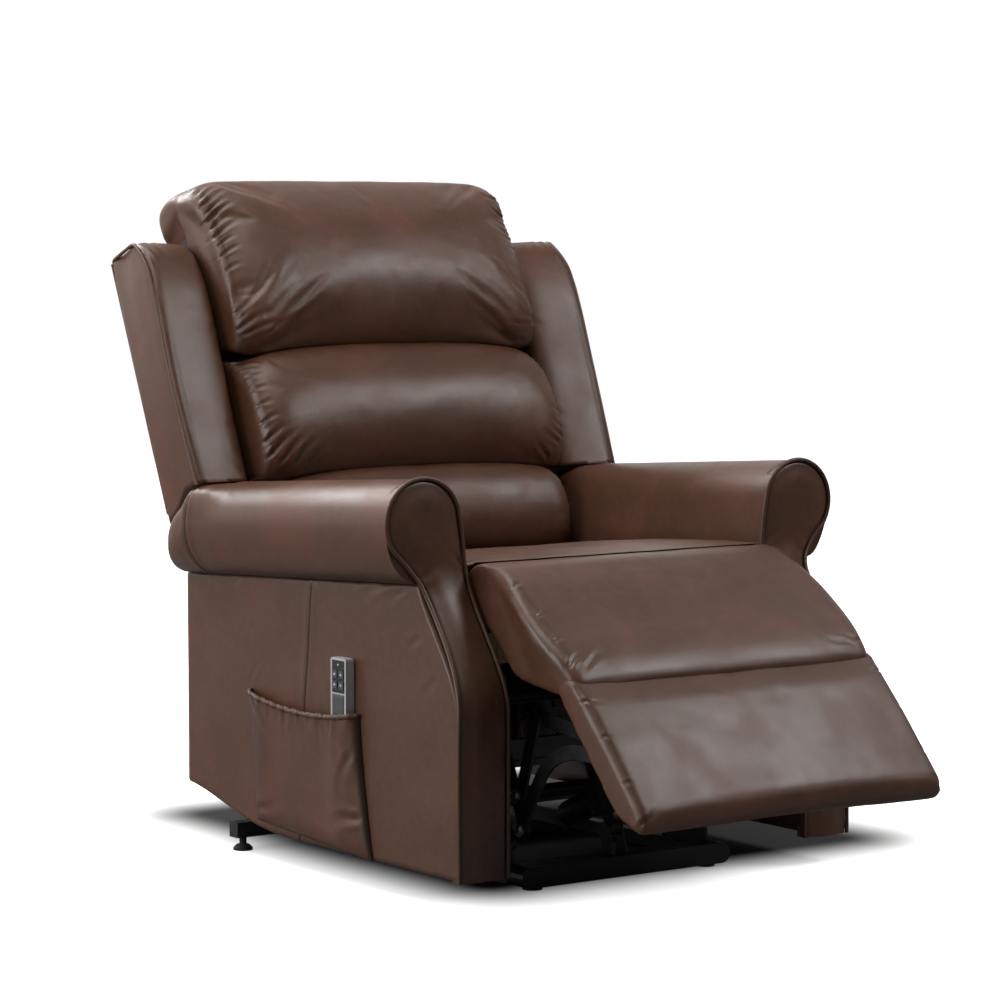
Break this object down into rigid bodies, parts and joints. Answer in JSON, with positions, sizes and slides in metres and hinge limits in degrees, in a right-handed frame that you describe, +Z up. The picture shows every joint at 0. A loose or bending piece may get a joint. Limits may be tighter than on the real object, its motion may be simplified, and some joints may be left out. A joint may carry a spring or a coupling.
{
  "type": "lift recliner chair",
  "caption": "Upholstered wing recliner on a steel lift base: motorised back, footrest and stand-up lift, rolled arms, side pocket with a handset.",
  "frame": {"origin": "middle of the chair's footprint at floor level, in the pose of the picture", "axes": "+X to the sitter's left, +Y to the rear, +Z up"},
  "size_m": [0.87, 1.3182, 1.0935],
  "materials": {
    "leather": "satin, fine grain, faintly mottled red-brown",
    "black_steel": "satin black powder coat",
    "timber": "planed, unfinished",
    "black_plastic": "fine matt texture",
    "grey_plastic": "fine matt texture",
    "silver_plastic": "silver lacquer",
    "rod_steel": "ground steel",
    "rubber": "matt"
  },
  "bodies": {
    "base": {"base_front_tube": "black_steel", "base_rear_tube": "black_steel", "base_rail_left": "black_steel", "base_rail_right": "black_steel", "rear_foot_left": "rubber", "rear_foot_right": "rubber", "power_supply": "grey_plastic"},
    "front_arms": {"lift_front_arms": "black_steel"},
    "rear_arms": {"lift_rear_arm_left": "black_steel", "lift_rear_arm_right": "black_steel"},
    "lift_motor": {"lift_motor_body": "black_plastic"},
    "lift_rod": {"lift_motor_rod": "rod_steel"},
    "carriage": {"carriage_plate_left": "black_steel", "carriage_plate_right": "black_steel", "seat_rail_left": "timber", "seat_rail_right": "timber", "arm_front_left": "leather", "arm_front_right": "leather", "arm_roll_left": "leather", "arm_roll_right": "leather", "arm_outer_panel_left": "leather", "arm_outer_panel_right": "leather", "arm_inner_panel_left": "leather", "arm_inner_panel_right": "leather", "carriage_front_tube": "black_steel", "carriage_rear_tube": "black_steel", "lift_motor_crossbar": "black_steel", "back_motor_crossbar": "black_steel", "seat_deck": "timber", "seat_front_rail": "timber", "seat_cushion": "leather", "rear_apron": "leather", "side_pocket": "leather"},
    "back": {"back_frame": "timber", "rear_shell": "leather", "wing_left": "leather", "wing_right": "leather", "lumbar_cushion": "leather", "middle_cushion": "leather", "head_cushion": "leather"},
    "back_motor": {"back_motor_body": "black_plastic"},
    "back_rod": {"back_motor_rod": "rod_steel"},
    "chaise": {"chaise_pad": "leather"},
    "footrest": {"footrest_pad": "leather", "footrest_board": "black_steel"},
    "drive_links": {"drive_link_left": "black_steel", "drive_link_right": "black_steel"},
    "cross_links": {"cross_link_left": "black_steel", "cross_link_right": "black_steel"},
    "pad_links": {"pad_link_left": "black_steel", "pad_link_right": "black_steel"},
    "upper_links": {"upper_link_left": "black_steel", "upper_link_right": "black_steel"},
    "handset": {"handset_body": "silver_plastic", "handset_face": "black_plastic"},
    "button_back_up": {"button_back_up": "grey_plastic"},
    "button_back_down": {"button_back_down": "grey_plastic"},
    "button_feet_up": {"button_feet_up": "grey_plastic"},
    "button_feet_down": {"button_feet_down": "grey_plastic"}
  },
  "joints": [
    {"name": "lift", "type": "hinge", "parent": "base", "child": "front_arms", "pos_m": [0, -0.18487, 0.068], "axis": [1, 0, 0], "range_deg": [0, 52]},
    {"name": "rear_arm_swing", "type": "hinge", "parent": "base", "child": "rear_arms", "pos_m": [0, -0.12687, 0.075], "axis": [1, 0, 0], "range_deg": [-0.05, 45.57]},
    {"name": "carriage_tilt", "type": "hinge", "parent": "front_arms", "child": "carriage", "pos_m": [0, 0.10213, 0.145], "axis": [1, 0, 0], "range_deg": [-27.7, 0.05]},
    {"name": "lift_motor_swing", "type": "hinge", "parent": "base", "child": "lift_motor", "pos_m": [0, -0.19987, 0.075], "axis": [1, 0, 0], "range_deg": [-0.05, 42.54]},
    {"name": "lift_rod_travel", "type": "slide", "parent": "lift_motor", "child": "lift_rod", "axis": [0, 0.4258, 0.9048], "range_m": [-0.00005, 0.09671]},
    {"name": "recline", "type": "hinge", "parent": "carriage", "child": "back", "pos_m": [0, 0.30613, 0.407], "axis": [-1, 0, 0], "range_deg": [-8, 25]},
    {"name": "back_motor_swing", "type": "hinge", "parent": "carriage", "child": "back_motor", "pos_m": [0, 0.05013, 0.27], "axis": [-1, 0, 0], "range_deg": [-0.98, 2.96]},
    {"name": "back_rod_travel", "type": "slide", "parent": "back_motor", "child": "back_rod", "axis": [0, 0.9769, 0.2137], "range_m": [-0.03688, 0.01183]},
    {"name": "footrest", "type": "hinge", "parent": "carriage", "child": "chaise", "pos_m": [0, -0.24487, 0.458], "axis": [-1, 0, 0], "range_deg": [-15, 15]},
    {"name": "footrest_pad_swing", "type": "hinge", "parent": "chaise", "child": "footrest", "pos_m": [0, -0.46987, 0.335], "axis": [-1, 0, 0], "range_deg": [-30.05, 30.05]},
    {"name": "drive_link_swing", "type": "hinge", "parent": "carriage", "child": "drive_links", "pos_m": [0, -0.19017, 0.3259], "axis": [-1, 0, 0], "range_deg": [-32.17, 32.17]},
    {"name": "pad_link_swing", "type": "hinge", "parent": "drive_links", "child": "pad_links", "pos_m": [0, -0.28857, 0.1089], "axis": [-1, 0, 0], "range_deg": [-25.11, 25.11]},
    {"name": "cross_link_swing", "type": "hinge", "parent": "drive_links", "child": "cross_links", "pos_m": [0, -0.26702, 0.15642], "axis": [-1, 0, 0], "range_deg": [-29.03, 29.03]},
    {"name": "upper_link_swing", "type": "hinge", "parent": "cross_links", "child": "upper_links", "pos_m": [0, -0.30567, 0.2801], "axis": [-1, 0, 0], "range_deg": [-4.99, 4.99]},
    {"name": "handset_lift_out", "type": "slide", "parent": "carriage", "child": "handset", "axis": [0, 0, 1], "range_m": [0, 0.11]},
    {"name": "press_back_up", "type": "slide", "parent": "handset", "child": "button_back_up", "axis": [1, 0, 0], "range_m": [0, 0.001], "stiffness_N_per_m": 300},
    {"name": "press_back_down", "type": "slide", "parent": "handset", "child": "button_back_down", "axis": [1, 0, 0], "range_m": [0, 0.001], "stiffness_N_per_m": 300},
    {"name": "press_feet_up", "type": "slide", "parent": "handset", "child": "button_feet_up", "axis": [1, 0, 0], "range_m": [0, 0.001], "stiffness_N_per_m": 300},
    {"name": "press_feet_down", "type": "slide", "parent": "handset", "child": "button_feet_down", "axis": [1, 0, 0], "range_m": [0, 0.001], "stiffness_N_per_m": 300}
  ],
  "couplings": [
    {"joint": "rear_arm_swing", "follows": "lift", "ratio": 0.8754},
    {"joint": "carriage_tilt", "follows": "lift", "ratio": -0.5317},
    {"joint": "lift_motor_swing", "follows": "lift", "ratio": 0.8172},
    {"joint": "lift_rod_travel", "follows": "lift", "m_per_rad": 0.1065},
    {"joint": "back_motor_swing", "follows": "recline", "ratio": 0.1164},
    {"joint": "back_rod_travel", "follows": "recline", "m_per_rad": -0.0844},
    {"joint": "footrest_pad_swing", "follows": "footrest", "ratio": 2},
    {"joint": "drive_link_swing", "follows": "footrest", "ratio": 2.1416},
    {"joint": "pad_link_swing", "follows": "footrest", "ratio": -1.6707},
    {"joint": "cross_link_swing", "follows": "footrest", "ratio": -1.9321},
    {"joint": "upper_link_swing", "follows": "footrest", "ratio": 0.3294}
  ]
}
